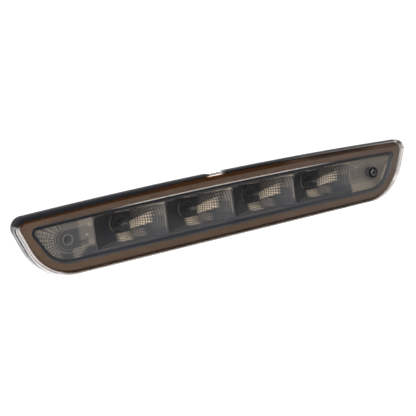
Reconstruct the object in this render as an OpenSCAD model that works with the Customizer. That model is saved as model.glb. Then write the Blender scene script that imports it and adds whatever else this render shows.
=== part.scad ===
// High-mount third brake light for a van tailgate, with a washer jet in its right end.
// A tinted lens covers a trim band and a reflector with a row of bulb cells.
// X runs along the lamp, -Y faces out of the vehicle and +Z is up.
// Y = 0 is the sheet metal that the gasket seals against.
// Z = 0 is the line of the bulbs, the studs and the jet.

/* [Face] */
// Length of the face at mid-height
face_length = 373; // [312:1:448]
// Height of the face at its middle
face_height = 57; // [47.5:0.5:69]
// Drop of the arched top edge between its middle and its ends
arch_drop = 3.8; // [0:0.1:5]
// Lean of the slanted ends from upright, in degrees
end_lean = 21; // [5:1:28]
// Radius of the two top corners
top_corner_r = 8.8; // [4:0.1:11]
// Radius of the two bottom corners
bottom_corner_r = 42; // [25:1:45]

/* [Window] */
// Trim band between the face's top edge and the window
band_top = 11; // [8:0.1:13]
// Trim band between the face's bottom edge and the window
band_bottom = 10.8; // [8:0.1:13]
// Trim band between the face's ends and the window, at mid-height
band_end = 13.3; // [11:0.1:20]
// Lean of the window's ends from upright, in degrees
window_lean = 29; // [5:1:30]
// Drop of the window's arched top edge
window_arch_drop = 2.7; // [0:0.1:4]
// Radius of the window's top corners
window_top_r = 4.6; // [3.5:0.1:7]
// Radius of the window's bottom corners
window_bottom_r = 24; // [8:0.5:26]
// Width of the dark frame inside the window
frame_width = 2.4; // [1.5:0.1:3]

/* [Lens] */
// Thickness of the lens front
lens_wall = 2.5; // [2:0.1:3.5]
// Depth of the lens from its front to the rear edge of its skirt
lens_depth = 9; // [8:0.1:9.5]
// Width of the clear rim along the top and bottom
rim_edge = 2.2; // [1.6:0.1:3]
// Width of the clear rim at the ends
rim_end = 4.6; // [3:0.1:6]
// Reach of the rounded front edge
edge_round = 2.4; // [1:0.1:3]
// Width of the moulding gate's flat on the top edge
gate_width = 15; // [8:1:20]
// Distance of the gate's flat from the middle, towards the left
gate_offset = 14; // [0:1:40]

/* [Trim] */
// Thickness of the trim band moulding
bezel_t = 1.2; // [1:0.1:2]
// Thickness of the dark frame moulding
frame_t = 1.8; // [1:0.1:2.5]

/* [Reflector] */
// Number of bulb cells
bulb_count = 4; // [4:1:4]
// Length at each end of the face, at mid-height, that the cells leave free
end_bay = 58.5; // [54:0.5:64]
// Thickness of the reflector's front plate
plate_t = 1.5; // [1.2:0.1:2]
// Depth of a cell from the plate's front to its bulb opening
bowl_depth = 21.3; // [19:0.1:23]
// Wall of a cell's bowl, measured along the lamp's depth
bowl_wall = 1.8; // [1.5:0.1:2.5]
// Wall between two cells
cell_wall = 2; // [1.5:0.1:3]
// Distance of the end bosses and the jet from the row of cells
jet_offset = 22; // [20:0.5:26]
// Radius of the blank boss's rim
boss_r = 4.2; // [3.5:0.1:5]

/* [Housing] */
// Thickness of the foam gasket once clamped
gasket_t = 3; // [2:0.1:4]
// Width of the foam gasket
gasket_width = 3; // [2:0.1:3.5]
// Thickness of the housing's flange
flange_t = 2.5; // [2:0.1:3.5]
// Wall of the housing's deep body
body_wall = 2; // [1.6:0.1:2.5]
// Thickness of the housing's back wall
back_wall = 2.5; // [2:0.1:3.5]
// Radius of the deep body's corners
body_corner_r = 6; // [3:0.5:8]
// Length of the plug socket behind the back wall
plug_depth = 13.5; // [10:0.5:18]
// Inner width of the plug socket
plug_w = 10; // [9:0.5:12]
// Inner height of the plug socket
plug_h = 17; // [15:0.5:17]
// Wall of the plug socket
plug_wall = 1.5; // [1.2:0.1:1.6]

/* [Fixings] */
// Diameter of the fixing studs
stud_d = 5; // [4:0.5:6]
// Length of the studs behind the sheet metal
stud_length = 20; // [12:1:25]
// Distance of the studs from the row of cells
stud_offset = 36; // [34:0.5:38]
// Diameter of the reflector screws
screw_d = 2.9; // [2.2:0.1:3.5]

/* [Bulbs] */
// Diameter of a bulb's glass
bulb_d = 10; // [8:0.1:12]
// Length of a bulb over all
bulb_length = 26; // [24:0.1:27]
// Width of a bulb's pinched base
base_w = 9.2; // [7.7:0.1:11.1]
// Thickness of a bulb's pinched base
base_t = 4.6; // [3.8:0.1:5.6]
// Length of a bulb's pinched base
base_l = 9.5; // [8.5:0.1:10]
// Wall of the bulb holder round its cavity
holder_wall = 1.15; // [1:0.05:2]
// Turn that unlocks a bulb holder, in degrees
unlock_angle = 45; // [40:1:60]

/* [Washer jet] */
// Radius of the aiming ball
ball_r = 3.6; // [3:0.1:4.4]
// Height of the collar above the lens
collar_h = 1.5; // [1:0.1:2]
// Radius of the hose nipple
nipple_r = 2.4; // [2:0.1:2.8]
// Length of the hose nipple
nipple_length = 14; // [10:0.5:18]
// Travel of the non-return poppet
poppet_travel = 1.5; // [1:0.1:1.8]

/* [Hidden] */

$fn = 64;
slip = 0.05;      // running clearance of a round fit
gap = 0.1;        // clearance between stacked pieces
seal_gap = 0.6;   // width of the bonded joint between lens and housing
over = 1;         // how far a cut runs past the solid that it cuts

// Levels along the lamp's depth, from the sheet metal forwards
y_flange = -gasket_t;
y_floor = y_flange - flange_t;
y_plate_back = y_floor - 3 * gap;
y_plate = y_plate_back - plate_t;
y_frame_back = y_plate - gap;
y_frame = y_frame_back - frame_t;
y_bezel = y_frame - bezel_t;
y_lens_inner = y_bezel - gap;
y_face = y_lens_inner - lens_wall;
y_skirt = y_face + lens_depth;

// Levels behind the sheet metal
lug_t = 1.6;
seal_t = 1.5;
holder_flange_t = 2;
y_bowl = y_plate + bowl_depth;
y_bowl_back = y_bowl + bowl_wall;
y_back_inner = y_bowl_back + lug_t + 2.6;
y_back = y_back_inner + back_wall;
y_holder = y_back + seal_t;
y_holder_back = y_holder + holder_flange_t;
y_bulb_end = y_holder + 5 * gap;
y_base = y_bulb_end - base_l;
y_tip = y_bulb_end - bulb_length;

// Outlines: top, arch drop, bottom, half length at mid-height, lean, top radius, bottom radius
top_z = face_height / 2;
face = [top_z, arch_drop, -top_z, face_length / 2, end_lean, top_corner_r, bottom_corner_r];
window = [
    top_z - band_top, window_arch_drop, -top_z + band_bottom, face_length / 2 - band_end,
    window_lean, window_top_r, window_bottom_r
];
cavity = shrink(face, rim_edge, rim_end);
flange = shrink(cavity, seal_gap, seal_gap);

// Cells and what lies behind them
cell_pitch = (face_length - 2 * end_bay) / bulb_count;
block_half = cell_pitch * bulb_count / 2;
cell_half_z = min(arch_z(window, block_half), -window[2]) - frame_width - 3 * gap;
bulb_x = [for (i = [0:bulb_count - 1]) (i - (bulb_count - 1) / 2) * cell_pitch];
screw_x = [-cell_pitch, cell_pitch];
jet_x = block_half + jet_offset;
plug_outer_z = plug_h / 2 + plug_wall;

// Bulb holder, from its cavity outwards
contact_t = 0.4;
contact_w = 3;
cavity_x = base_w / 2 + 0.3;
cavity_z = base_t / 2 + slip + contact_t + 0.45;
glass_bore_r = bulb_d / 2 + 0.3;
barrel_r = max(norm([cavity_x, cavity_z]), glass_bore_r) + holder_wall;
holder_hole_r = barrel_r + 0.4;
bulb_hole_r = barrel_r + 1;
lug_r = holder_hole_r + 1.8;
lug_w = 4;
seal_in_r = holder_hole_r + 0.8;
seal_out_r = seal_in_r + 2;
holder_flange_r = seal_out_r + 0.6;
pad_z = holder_flange_r + 2 * gap;
rail_in_z = pad_z - 3 * gap;
rail_w = 2.6;
rail_t = 0.6;
rail_out_z = max(rail_in_z + rail_w, plug_outer_z + gap + rail_w);
rail_half = bulb_x[bulb_count - 1] + 5;
grip_half = holder_flange_r - 1;
grip_t = 4;
grip_h = 7;

// Deep body of the housing
body_half_z = max(cell_half_z + cell_wall / 2 + 5 * gap + body_wall, rail_out_z + 1.5);
body_half_x = block_half + 5 * gap + cell_wall / 2 + body_wall;
vent_x = -block_half + 16;
vent_r = 2.5;

// Plug pins
pin_w = 2.8;
pin_z = 4;
pin_length = 10;

// Fixings
stud_r = stud_d / 2;
stud_shoulder_r = stud_r + 0.6;
stud_head_r = stud_shoulder_r + 1.4;
stud_head_t = 1.3;
stud_boss_r = stud_shoulder_r + 2.9;
screw_r = screw_d / 2;

// Washer jet
collar_r = ball_r + 1.3;
jet_r = ball_r + 0.9;
y_collar = y_face - collar_h;
y_ball = y_face - 2 * gap;
channel_r = 1.2;
chamber_r = jet_r - 1.7;
y_chamber = 3;
y_seat = 10;
y_jet_back = y_seat + 2;
poppet_r = chamber_r - 0.6;
poppet_t = 1.6;
jet_seal_t = 1.2;
nut_flats = 2 * jet_r + 4;
nut_t = 5;
cap_t = 1.5;
jet_seal_r = jet_r + 3;
stud_x = max(block_half + stud_offset, jet_x + jet_seal_r + stud_boss_r + 5 * gap);

// ---- outlines ----

// The same outline with its long edges and its ends moved inwards
function shrink(o, edge, end) = [
    o[0] - edge, o[1], o[2] + edge, o[3] - end / cos(o[4]), o[4],
    max(o[5] - edge, 1), max(o[6] - (edge + end) / 2, 2)
];

function arch_k(o) = o[1] / (o[3] * o[3]);

// Height of an outline's top edge at a place along it
function arch_z(o, x) = o[0] - arch_k(o) * x * x;

// Centre of the top corner's arc, found by stepping along the arch
function top_corner_x(o, x, steps) =
    steps == 0 ? x : top_corner_x(o, side_x(o, arch_z(o, x) - o[5]) - o[5] / cos(o[4]), steps - 1);

// Where the slanted side is at a height
function side_x(o, z) = o[3] + tan(o[4]) * z;

function arc(c, r, from, to, steps) =
    [for (i = [0:steps]) let (a = from + (to - from) * i / steps) c + r * [cos(a), sin(a)]];

// Right half of an outline, from the middle of the arch to the middle of the bottom edge
function half_outline(o) =
    let (
        tx = top_corner_x(o, o[3], 8),
        tz = arch_z(o, tx) - o[5],
        bz = o[2] + o[6],
        bx = side_x(o, bz) - o[6] / cos(o[4]),
        span = 8
    )
    concat(
        [for (i = [0:span - 1]) [tx * i / span, arch_z(o, tx * i / span)]],
        arc([tx, tz], o[5], 90, -o[4], 6),
        arc([bx, bz], o[6], -o[4], -90, 12)
    );

function mirrored(points) = [for (i = [len(points) - 1:-1:1]) [-points[i][0], points[i][1]]];

// ---- shapes that lie along Y ----

module slab(o, y0, y1) {
    right = half_outline(o);
    translate([0, y1, 0])
        rotate([90, 0, 0])
            linear_extrude(y1 - y0)
                polygon(concat(right, mirrored(right)));
}

module ring_slab(outer, inner, y0, y1) {
    difference() {
        slab(outer, y0, y1);
        slab(inner, y0 - over, y1 + over);
    }
}

module rod(r, y0, y1, x = 0, z = 0) {
    translate([x, y1, z])
        rotate([90, 0, 0])
            cylinder(h = y1 - y0, r = r);
}

module tube(r_out, r_in, y0, y1, x = 0, z = 0) {
    difference() {
        rod(r_out, y0, y1, x, z);
        rod(r_in, y0 - over, y1 + over, x, z);
    }
}

// Solid of revolution about a line along Y; points are [radius, depth]
module turned(points, x = 0) {
    translate([x, 0, 0])
        rotate([-90, 0, 0])
            rotate_extrude()
                polygon(points);
}

module block(x0, x1, y0, y1, z0, z1) {
    translate([x0, y0, z0])
        cube([x1 - x0, y1 - y0, z1 - z0]);
}

module round_block(half_x, half_z, r, y0, y1) {
    block(-half_x, half_x, y0, y1, -half_z + r, half_z - r);
    block(-half_x + r, half_x - r, y0, y1, -half_z, half_z);
    for (sx = [-1, 1], sz = [-1, 1])
        rod(r, y0, y1, sx * (half_x - r), sz * (half_z - r));
}

// ---- lens and trim ----

module lens() {
    color("#5a4a40", 0.55)
        difference() {
            union() {
                slab(shrink(face, edge_round * 0.6, edge_round * 0.6), y_face, y_skirt);
                slab(shrink(face, edge_round * 0.2, edge_round * 0.2), y_face + edge_round / 3, y_skirt);
                slab(face, y_face + edge_round, y_skirt);
                block(-gate_offset - gate_width / 2, -gate_offset + gate_width / 2,
                    y_skirt - 3, y_skirt, top_z - rim_edge + gap, top_z + 3 * gap);
            }
            slab(cavity, y_lens_inner, y_skirt + over);
            rod(jet_r + gap, y_face - over, y_lens_inner + over, jet_x);
        }
}

module bezel() {
    color("#5c493b")
        ring_slab(shrink(cavity, 3 * gap, 3 * gap), window, y_bezel, y_frame);
}

module window_frame() {
    color("#2b3038")
        ring_slab(shrink(window, -1, -1), shrink(window, frame_width, frame_width + 0.6),
            y_frame, y_frame_back);
}

// ---- reflector ----

// Depth of the parabolic bowl at a radius from the bulb's axis
function bowl_y(r) =
    y_bowl - bowl_depth * (r * r - bulb_hole_r * bulb_hole_r)
        / (pow(cell_pitch / 2, 2) - bulb_hole_r * bulb_hole_r);

module bowl(x, shift) {
    reach = cell_pitch / 2 * 1.25;
    steps = 12;
    wall = [
        for (i = [0:steps])
            let (r = bulb_hole_r + (reach - bulb_hole_r) * i / steps)
            [r, bowl_y(r) + shift]
    ];
    turned(concat([[0, bowl_y(reach) + shift - over], [0, y_bowl + shift]], wall,
        [[reach, bowl_y(reach) + shift - over]]), x);
}

module cell_box(x, half_x, half_z) {
    block(x - half_x, x + half_x, y_plate - over, y_bowl_back + over, -half_z, half_z);
}

module reflector() {
    color("#b9b2a8")
        difference() {
            union() {
                slab(shrink(window, 0.6, 0.6), y_plate, y_plate_back);
                intersection() {
                    block(-block_half, block_half, y_plate, y_bowl_back,
                        -cell_half_z - cell_wall / 2, cell_half_z + cell_wall / 2);
                    union() {
                        for (x = bulb_x)
                            intersection() {
                                cell_box(x, cell_pitch / 2, cell_half_z + cell_wall / 2);
                                bowl(x, bowl_wall);
                            }
                    }
                }
                for (x = screw_x)
                    rod(screw_r + 2.2, y_plate_back - gap, y_back_inner - 2 * gap, x);
                tube(boss_r, boss_r - 1, y_plate - 0.8, y_plate + gap, -jet_x);
            }
            for (x = bulb_x) {
                intersection() {
                    cell_box(x, cell_pitch / 2 - cell_wall / 2, cell_half_z);
                    bowl(x, 0);
                }
                rod(bulb_hole_r, y_bowl - over, y_bowl_back + over, x);
            }
            for (x = screw_x)
                rod(screw_r + slip, y_back_inner - 9, y_back_inner + over, x);
            rod(jet_r + 0.5, y_plate - over, y_plate_back + over, jet_x);
        }
}

// ---- housing and its seals ----

module housing() {
    color("#26272a")
        difference() {
            union() {
                slab(flange, y_floor, y_flange);
                round_block(body_half_x, body_half_z, body_corner_r, y_flange - gap, y_back);
                for (s = [-1, 1])
                    rod(stud_boss_r, y_flange - gap, 0, s * stud_x);
                rod(vent_r, y_back - gap, y_back + 3.5, vent_x);
                block(-plug_w / 2 - plug_wall, plug_w / 2 + plug_wall, y_back - gap, y_back + plug_depth,
                    -plug_outer_z, plug_outer_z);
                block(-1.5, 1.5, y_back + plug_depth - 6, y_back + plug_depth - 4,
                    plug_outer_z - gap, plug_outer_z + 1.2);
            }
            round_block(body_half_x - body_wall, body_half_z - body_wall, body_corner_r - body_wall,
                y_floor - over, y_back_inner);
            for (x = bulb_x) {
                rod(holder_hole_r, y_back_inner - over, y_back + over, x);
                lug_bars(x, unlock_angle, y_back_inner - over, y_back + over, 0.4);
            }
            for (x = screw_x)
                rod(screw_r + 0.3, y_back_inner - over, y_back + over, x);
            for (s = [-1, 1]) {
                rod(stud_shoulder_r + slip, y_floor - over, over, s * stud_x);
                rod(stud_head_r + slip, y_floor - over, y_floor + stud_head_t, s * stud_x);
            }
            rod(jet_r + 0.2, y_floor - over, y_flange + over, jet_x);
            rod(vent_r - 1, y_back_inner - over, y_back + 5, vent_x);
            block(-plug_w / 2, plug_w / 2, y_back, y_back + plug_depth + over, -plug_h / 2, plug_h / 2);
            block(-pin_w / 2 - gap, pin_w / 2 + gap, y_back, y_back + rail_t + gap,
                -plug_outer_z - over, plug_outer_z + over);
            for (x = screw_x, s = [-1, 1])
                rod(0.8, y_back - 1.5, y_back + over, x, s * rivet_z());
        }
}

module lens_seal() {
    color("#17181a")
        ring_slab(cavity, flange, y_floor, y_skirt);
}

module panel_gasket() {
    outer = shrink(flange, 1, 1);
    color("#3a3b3d")
        ring_slab(outer, shrink(outer, gasket_width, gasket_width), y_flange, 0);
}

module holder_seals() {
    color("#1b1b1c")
        for (x = bulb_x)
            tube(seal_out_r, seal_in_r, y_back, y_holder - gap, x);
}

module vent_cap() {
    color("#222222")
        difference() {
            rod(vent_r + 1.5, y_back + 1, y_back + 5.5, vent_x);
            rod(vent_r + slip, y_back, y_back + 4, vent_x);
        }
}

module vent_membrane() {
    color("white")
        rod(vent_r - 0.3, y_back + 3.5, y_back + 3.9, vent_x);
}

// ---- fixings ----

module stud(x) {
    color("silver") {
        rod(stud_shoulder_r, y_floor + stud_head_t - gap, 0, x);
        rod(stud_r, -gap, stud_length, x);
        rod(stud_head_r, y_floor, y_floor + stud_head_t, x);
    }
}

module reflector_screws() {
    color("silver")
        for (x = screw_x)
            difference() {
                union() {
                    rod(screw_r, y_back_inner - 8, y_back + gap, x);
                    rod(screw_r + 1.7, y_back, y_back + 2, x);
                }
                block(x - 2.2, x + 2.2, y_back + 1, y_back + 3, -0.4, 0.4);
                block(x - 0.4, x + 0.4, y_back + 1, y_back + 3, -2.2, 2.2);
            }
}

// ---- electrical parts ----

function rivet_z() = rail_out_z - rail_w / 2;

module rail(side) {
    color("#c8a24a")
        difference() {
            union() {
                block(-rail_half, rail_half, y_back, y_back + rail_t,
                    side > 0 ? rail_in_z : -rail_out_z, side > 0 ? rail_out_z : -rail_in_z);
                block(-pin_w / 2, pin_w / 2, y_back, y_back + rail_t,
                    side > 0 ? pin_z : -rail_in_z - gap, side > 0 ? rail_in_z + gap : -pin_z);
            }
            for (x = screw_x)
                rod(0.8, y_back - over, y_back + over, x, side * rivet_z());
        }
}

module rail_rivets() {
    color("silver")
        for (x = screw_x, s = [-1, 1]) {
            rod(0.75, y_back - 1.4, y_back + rail_t + gap, x, s * rivet_z());
            rod(1.2, y_back + rail_t, y_back + rail_t + 0.8, x, s * rivet_z());
        }
}

module plug_pins() {
    color("#d6c178")
        for (s = [-1, 1])
            block(-pin_w / 2, pin_w / 2, y_back + rail_t, y_back + rail_t + pin_length,
                s > 0 ? pin_z : -pin_z - 0.6, s > 0 ? pin_z + 0.6 : -pin_z);
}

// Two lugs on a line through a holder's axis; extra widens them into notches
module lug_bars(x, angle, y0, y1, extra) {
    translate([x, 0, 0])
        rotate([0, angle, 0])
            intersection() {
                rod(lug_r + extra, y0, y1);
                block(-lug_r - over, lug_r + over, y0, y1, -lug_w / 2 - extra, lug_w / 2 + extra);
            }
}

module bulb_holder(x) {
    color("#3b3b3e")
        difference() {
            union() {
                rod(barrel_r, y_bowl - over, y_holder + gap, x);
                lug_bars(x, 0, y_back_inner - lug_t - 2 * gap, y_back_inner - 2 * gap, 0);
                rod(holder_flange_r, y_holder, y_holder_back, x);
                block(x - grip_half, x + grip_half, y_holder_back - gap, y_holder_back + grip_h,
                    -grip_t / 2, grip_t / 2);
                rod(barrel_r - 2, y_holder_back - gap, y_holder_back + 2.5, x);
            }
            rod(glass_bore_r, y_bowl - 2 * over, y_base + 3 * gap, x);
            block(x - cavity_x, x + cavity_x, y_bowl - 2 * over, y_bulb_end + 5 * gap,
                -cavity_z, cavity_z);
            block(x - contact_w / 2 - slip, x + contact_w / 2 + slip,
                y_bulb_end - gap - slip, y_bulb_end + contact_t, -pad_z - over, pad_z + over);
        }
}

// Two bent strips that reach from the bulb's base over the holder's rim to the rails
module holder_contacts(x) {
    inner = base_t / 2 + slip;
    level = y_bulb_end - gap;
    color("#c8a24a")
        for (s = [0, 1])
            mirror([0, 0, s])
                translate([x - contact_w / 2, 0, 0]) {
                    block(0, contact_w, y_base + 0.5, level + contact_t, inner, inner + contact_t);
                    block(0, contact_w, level, level + contact_t, inner, pad_z + contact_t);
                    block(0, contact_w, y_back + rail_t + slip, level + contact_t,
                        pad_z, pad_z + contact_t);
                }
}

module bulb(x) {
    r = bulb_d / 2;
    wall = 0.6;
    color("#dfe8ee", 0.4) {
        difference() {
            union() {
                rod(r, y_tip + r, y_base, x);
                translate([x, y_tip + r, 0]) sphere(r = r);
            }
            rod(r - wall, y_tip + r, y_base - 2, x);
            translate([x, y_tip + r, 0]) sphere(r = r - wall);
        }
        block(x - base_w / 2, x + base_w / 2, y_base - gap, y_bulb_end, -base_t / 2, base_t / 2);
    }
}

// Two support wires with the coil between their tips
module filament(x) {
    reach = bulb_d / 4;
    y_coil = y_tip + bulb_d / 2 + 1;
    color("#8f8f92") {
        for (s = [-1, 1])
            rod(0.25, y_coil - 0.3, y_base - 2, x + s * reach);
        translate([x - reach - 0.3, y_coil, 0])
            rotate([0, 90, 0])
                cylinder(h = 2 * reach + 0.6, r = 0.45);
    }
}

// ---- washer jet ----

module jet_body() {
    socket_r = ball_r + slip;
    from = acos((y_ball - y_collar) / socket_r);
    to = 180 - asin(channel_r / socket_r);
    steps = 18;
    socket = [
        for (i = [0:steps])
            let (a = from + (to - from) * i / steps)
            [socket_r * sin(a), y_ball - socket_r * cos(a)]
    ];
    color("#111111")
        turned(concat(socket, [
            [channel_r, y_chamber],
            [chamber_r, y_chamber],
            [chamber_r, y_jet_back],
            [jet_r, y_jet_back],
            [jet_r, y_face],
            [collar_r, y_face],
            [collar_r, y_collar]
        ]), jet_x);
}

module jet_ball() {
    color("#1c1c1e")
        difference() {
            translate([jet_x, y_ball, 0]) sphere(r = ball_r);
            rod(0.5, y_ball - ball_r - over, y_ball + ball_r + over, jet_x);
            rod(channel_r, y_ball + 1, y_ball + ball_r + over, jet_x);
        }
}

module jet_seal() {
    color("#1b1b1c")
        tube(jet_seal_r, jet_r + slip, y_flange, y_flange + jet_seal_t, jet_x);
}

module jet_nut() {
    y0 = y_flange + jet_seal_t;
    color("#2c2c2e")
        difference() {
            translate([jet_x, y0 + nut_t, 0])
                rotate([90, 0, 0])
                    cylinder(h = nut_t, r = nut_flats / 2 / cos(30), $fn = 6);
            rod(jet_r + slip, y0 - over, y0 + nut_t + over, jet_x);
        }
}

module hose_nipple() {
    y_root = y_jet_back + cap_t;
    color("#1a1a1b")
        turned([
            [channel_r, y_seat],
            [chamber_r - slip, y_seat],
            [chamber_r - slip, y_jet_back],
            [jet_r, y_jet_back],
            [jet_r, y_root],
            [nipple_r, y_root],
            [nipple_r, y_root + nipple_length],
            [nipple_r - 0.6, y_root + nipple_length + 1],
            [channel_r, y_root + nipple_length + 1]
        ], jet_x);
}

module check_poppet() {
    color("#c9c9c4") {
        rod(poppet_r, y_seat - poppet_t, y_seat, jet_x);
        rod(0.8, y_chamber + poppet_travel + 5 * gap, y_seat - poppet_t + gap, jet_x);
    }
}

// Helical wire between the chamber's shoulder and the poppet
module check_spring() {
    wire_r = 0.22;
    coil_r = poppet_r - wire_r - 0.25;
    turns = 4.5;
    sides = 8;
    rings = turns * 16;
    y0 = y_chamber + wire_r + slip;
    y1 = y_seat - poppet_t - wire_r - slip;
    points = [
        for (i = [0:rings], k = [0:sides - 1])
            let (
                a = 360 * turns * i / rings,
                b = 360 * k / sides,
                r = coil_r + wire_r * cos(b)
            )
            [jet_x + r * cos(a), y0 + (y1 - y0) * i / rings + wire_r * sin(b), r * sin(a)]
    ];
    walls = [
        for (i = [0:rings - 1], k = [0:sides - 1])
            let (n = (k + 1) % sides)
            [i * sides + k, i * sides + n, (i + 1) * sides + n, (i + 1) * sides + k]
    ];
    color("silver")
        polyhedron(points, concat(
            [[for (k = [sides - 1:-1:0]) k]],
            walls,
            [[for (k = [0:sides - 1]) rings * sides + k]]
        ));
}

lens();
bezel();
window_frame();
reflector();
housing();
lens_seal();
panel_gasket();
stud(-stud_x);  // stud_left
stud(stud_x);  // stud_right
reflector_screws();
vent_cap();
vent_membrane();
holder_seals();
rail(1);  // rail_feed
rail(-1);  // rail_ground
rail_rivets();
plug_pins();
for (i = [0:bulb_count - 1]) {
    bulb_holder(bulb_x[i]);
    holder_contacts(bulb_x[i]);
    bulb(bulb_x[i]);
    filament(bulb_x[i]);
}
jet_body();
jet_ball();
jet_seal();
jet_nut();
hose_nipple();
check_poppet();
check_spring();
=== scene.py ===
"""High-mount third brake light with a washer jet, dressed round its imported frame.

Lengths in this file are millimetres until a mesh is made, where they become metres.
X runs along the lamp, -Y faces out through the lens and +Z is up. Y = 0 is the
sheet metal behind the gasket and Z = 0 is the line of the bulbs and the jet.
"""

import math

import bmesh
import bpy
import numpy as np
from mathutils import Matrix, Vector


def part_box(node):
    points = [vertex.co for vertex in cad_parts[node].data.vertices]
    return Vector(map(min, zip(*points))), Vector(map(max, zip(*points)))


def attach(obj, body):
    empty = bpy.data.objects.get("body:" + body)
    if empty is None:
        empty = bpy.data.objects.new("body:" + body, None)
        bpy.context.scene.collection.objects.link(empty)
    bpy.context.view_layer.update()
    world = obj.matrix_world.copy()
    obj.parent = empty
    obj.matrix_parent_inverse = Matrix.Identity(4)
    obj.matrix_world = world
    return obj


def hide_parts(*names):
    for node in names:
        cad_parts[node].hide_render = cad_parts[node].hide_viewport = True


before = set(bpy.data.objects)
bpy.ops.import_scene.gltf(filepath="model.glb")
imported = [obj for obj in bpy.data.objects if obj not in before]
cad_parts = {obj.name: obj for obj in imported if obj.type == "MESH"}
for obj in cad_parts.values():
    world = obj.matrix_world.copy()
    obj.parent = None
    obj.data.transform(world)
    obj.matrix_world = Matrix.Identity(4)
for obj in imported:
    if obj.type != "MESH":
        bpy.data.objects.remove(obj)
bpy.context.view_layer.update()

MM = 0.001
rng = np.random.default_rng(7)

# ---------------------------------------------------------------- sizes from the frame


def edges(node):
    """Lowest and highest corner of a CAD node, in millimetres."""
    low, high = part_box(node)
    return np.array(low) / MM, np.array(high) / MM


lens_low, lens_high = edges("lens")
bezel_low, bezel_high = edges("bezel")
frame_low, frame_high = edges("window_frame")
plate_low = edges("reflector")[0]
jet_low, jet_high = edges("jet_body")

# The face and the window as outlines; half and lean place and tilt their slanted ends
TOP = 28.5
FACE = dict(top=TOP, drop=3.8, bottom=-TOP, half=186.5, lean=21, r_top=8.8, r_bottom=42)
WINDOW = dict(top=17.5, drop=2.7, bottom=-17.7, half=173.2, lean=29, r_top=4.6, r_bottom=24)

# The lens: its wall, the reach and depth of its rounded edge, its clear rim and the jet's hole
LENS_WALL = 2.5
EDGE_REACH = 2.3
EDGE_DEPTH = 2.6
RIM_EDGE, RIM_END = 2.2, 4.6
JET_HOLE_R = 4.62
GATE_X, GATE_HALF = -14.0, 7.5

# Insets from the face's edge where the rim's tint ends, and for what lies well inside it
RIM_INSET = 5.2
FULL_INSET = 9.0

# The reflector: a bulb cell's pitch, half sizes, opening, bowl and walls, and the front plate
PITCH = 64.0
CELL_HALF_X = 31.0
CELL_HALF_Z = 13.3
OPENING_R = 8.0
BOWL_Y = 14.0
BOWL_DEPTH = 21.3
PLATE_T = 1.5
PLATE_Y = plate_low[1] + 0.8
PLATE_INSET = 0.6
PLATE_END = 185.0
# Painted shade of the reflector's plain flanks, which mirror the dark inside of the lamp
PLAIN_PAINTED_SHINE = 0.03

# The pillows of a bowl: their radial pitch, their turn round the bulb and their height
PILLOW_PITCH = 1.62
PILLOW_TURN = math.radians(6.4)
PILLOW_HEIGHT = 0.30

JET_X = (jet_low[0] + jet_high[0]) / 2
BULBS = (1, 2, 3, 4)
BULB_X = [sum(edges(f"bulb_{i}"))[0] / 2 for i in BULBS]

# ---------------------------------------------------------------- outlines and meshes


def shrink(o, edge, end):
    """The same outline with its long edges moved in by edge and its ends by end."""
    lean = math.radians(o["lean"])
    return dict(
        o,
        top=o["top"] - edge,
        bottom=o["bottom"] + edge,
        half=o["half"] - end / math.cos(lean),
        r_top=max(o["r_top"] - edge, 0.6),
        r_bottom=max(o["r_bottom"] - (edge + end) / 2, 1.2),
    )


def outline(o):
    """Closed loop of an outline seen from the front, clockwise from the middle of its top.

    The top is the parabola z = top - drop * (x / half)^2. It runs into the slanted
    side x = half + z * tan(lean) by an arc, and that into the flat bottom by another.
    """
    lean = math.radians(o["lean"])
    k = o["drop"] / o["half"] ** 2
    tx = o["half"]
    for _ in range(12):
        tz = o["top"] - k * tx * tx - o["r_top"]
        tx = o["half"] + math.tan(lean) * tz - o["r_top"] / math.cos(lean)
    bz = o["bottom"] + o["r_bottom"]
    bx = o["half"] + math.tan(lean) * bz - o["r_bottom"] / math.cos(lean)

    def arc(cx, cz, r, start, end, n):
        """n points of a circle between two angles."""
        a = np.linspace(start, end, n)
        return np.stack([cx + r * np.cos(a), cz + r * np.sin(a)], 1)

    top_x = np.linspace(0, tx, 90)[:-1]
    arch = np.stack([top_x, o["top"] - k * top_x**2], 1)
    corner = arc(tx, tz, o["r_top"], math.pi / 2, -lean, 16)
    heel = arc(bx, bz, o["r_bottom"], -lean, -math.pi / 2, 40)
    side = corner[-1] + (heel[0] - corner[-1]) * np.linspace(0, 1, 8)[1:-1, None]
    base_x = np.linspace(bx, 0, 24)[1:]
    base = np.stack([base_x, np.full_like(base_x, o["bottom"])], 1)
    right = np.concatenate([arch, corner, side, heel, base])
    left = right[1:-1][::-1] * [-1, 1]
    return np.concatenate([right, left])


def loop(points, y):
    """Points of the front view, [x, z], set at depth y, which may be one value each."""
    y = np.broadcast_to(np.asarray(y, float), (len(points),))
    return np.stack([points[:, 0], y, points[:, 1]], 1)


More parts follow.
